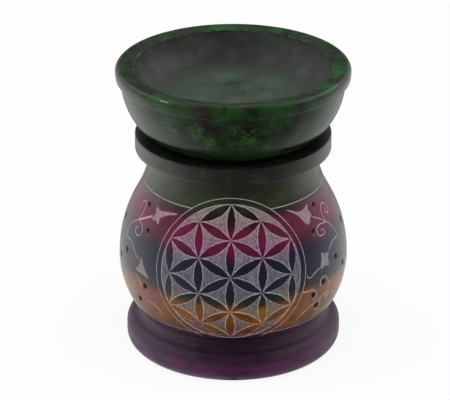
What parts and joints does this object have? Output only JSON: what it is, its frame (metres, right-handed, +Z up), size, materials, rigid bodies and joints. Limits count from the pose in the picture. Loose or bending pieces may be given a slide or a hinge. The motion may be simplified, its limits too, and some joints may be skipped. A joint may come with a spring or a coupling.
{
  "type": "essential oil burner",
  "caption": "Round stone oil burner: a pierced pot-bellied body with a door at the back, a loose oil bowl on its collar and a tealight inside.",
  "frame": {"origin": "middle of the foot's underside, on the surface that the burner stands on", "axes": "+Z up along the axis that both stones are turned about; the carved front faces -Y; the door is towards +Y; +X is to the right of someone who faces the front"},
  "size_m": [0.082, 0.082, 0.105],
  "materials": {
    "body_stone": "dyed in bands, carved and wax polished",
    "bowl_stone": "dyed mottled green and wax polished",
    "cup_foil": "pressed, bright",
    "wax": "cast wax",
    "sustainer_plate": "tinned",
    "wick_cotton": "braided"
  },
  "bodies": {
    "pot": {"burner_body": "body_stone"},
    "bowl": {"oil_bowl": "bowl_stone"},
    "tealight": {"tealight_cup": "cup_foil", "tealight_wax": "wax", "wick_sustainer": "sustainer_plate", "tealight_wick": "wick_cotton"}
  },
  "joints": [
    {"name": "bowl_lift", "type": "slide", "parent": "pot", "child": "bowl", "axis": [0, 0, 1], "range_m": [0, 0.04]},
    {"name": "tealight_slide", "type": "slide", "parent": "pot", "child": "tealight", "axis": [0, 1, 0], "range_m": [0, 0.063]}
  ]
}
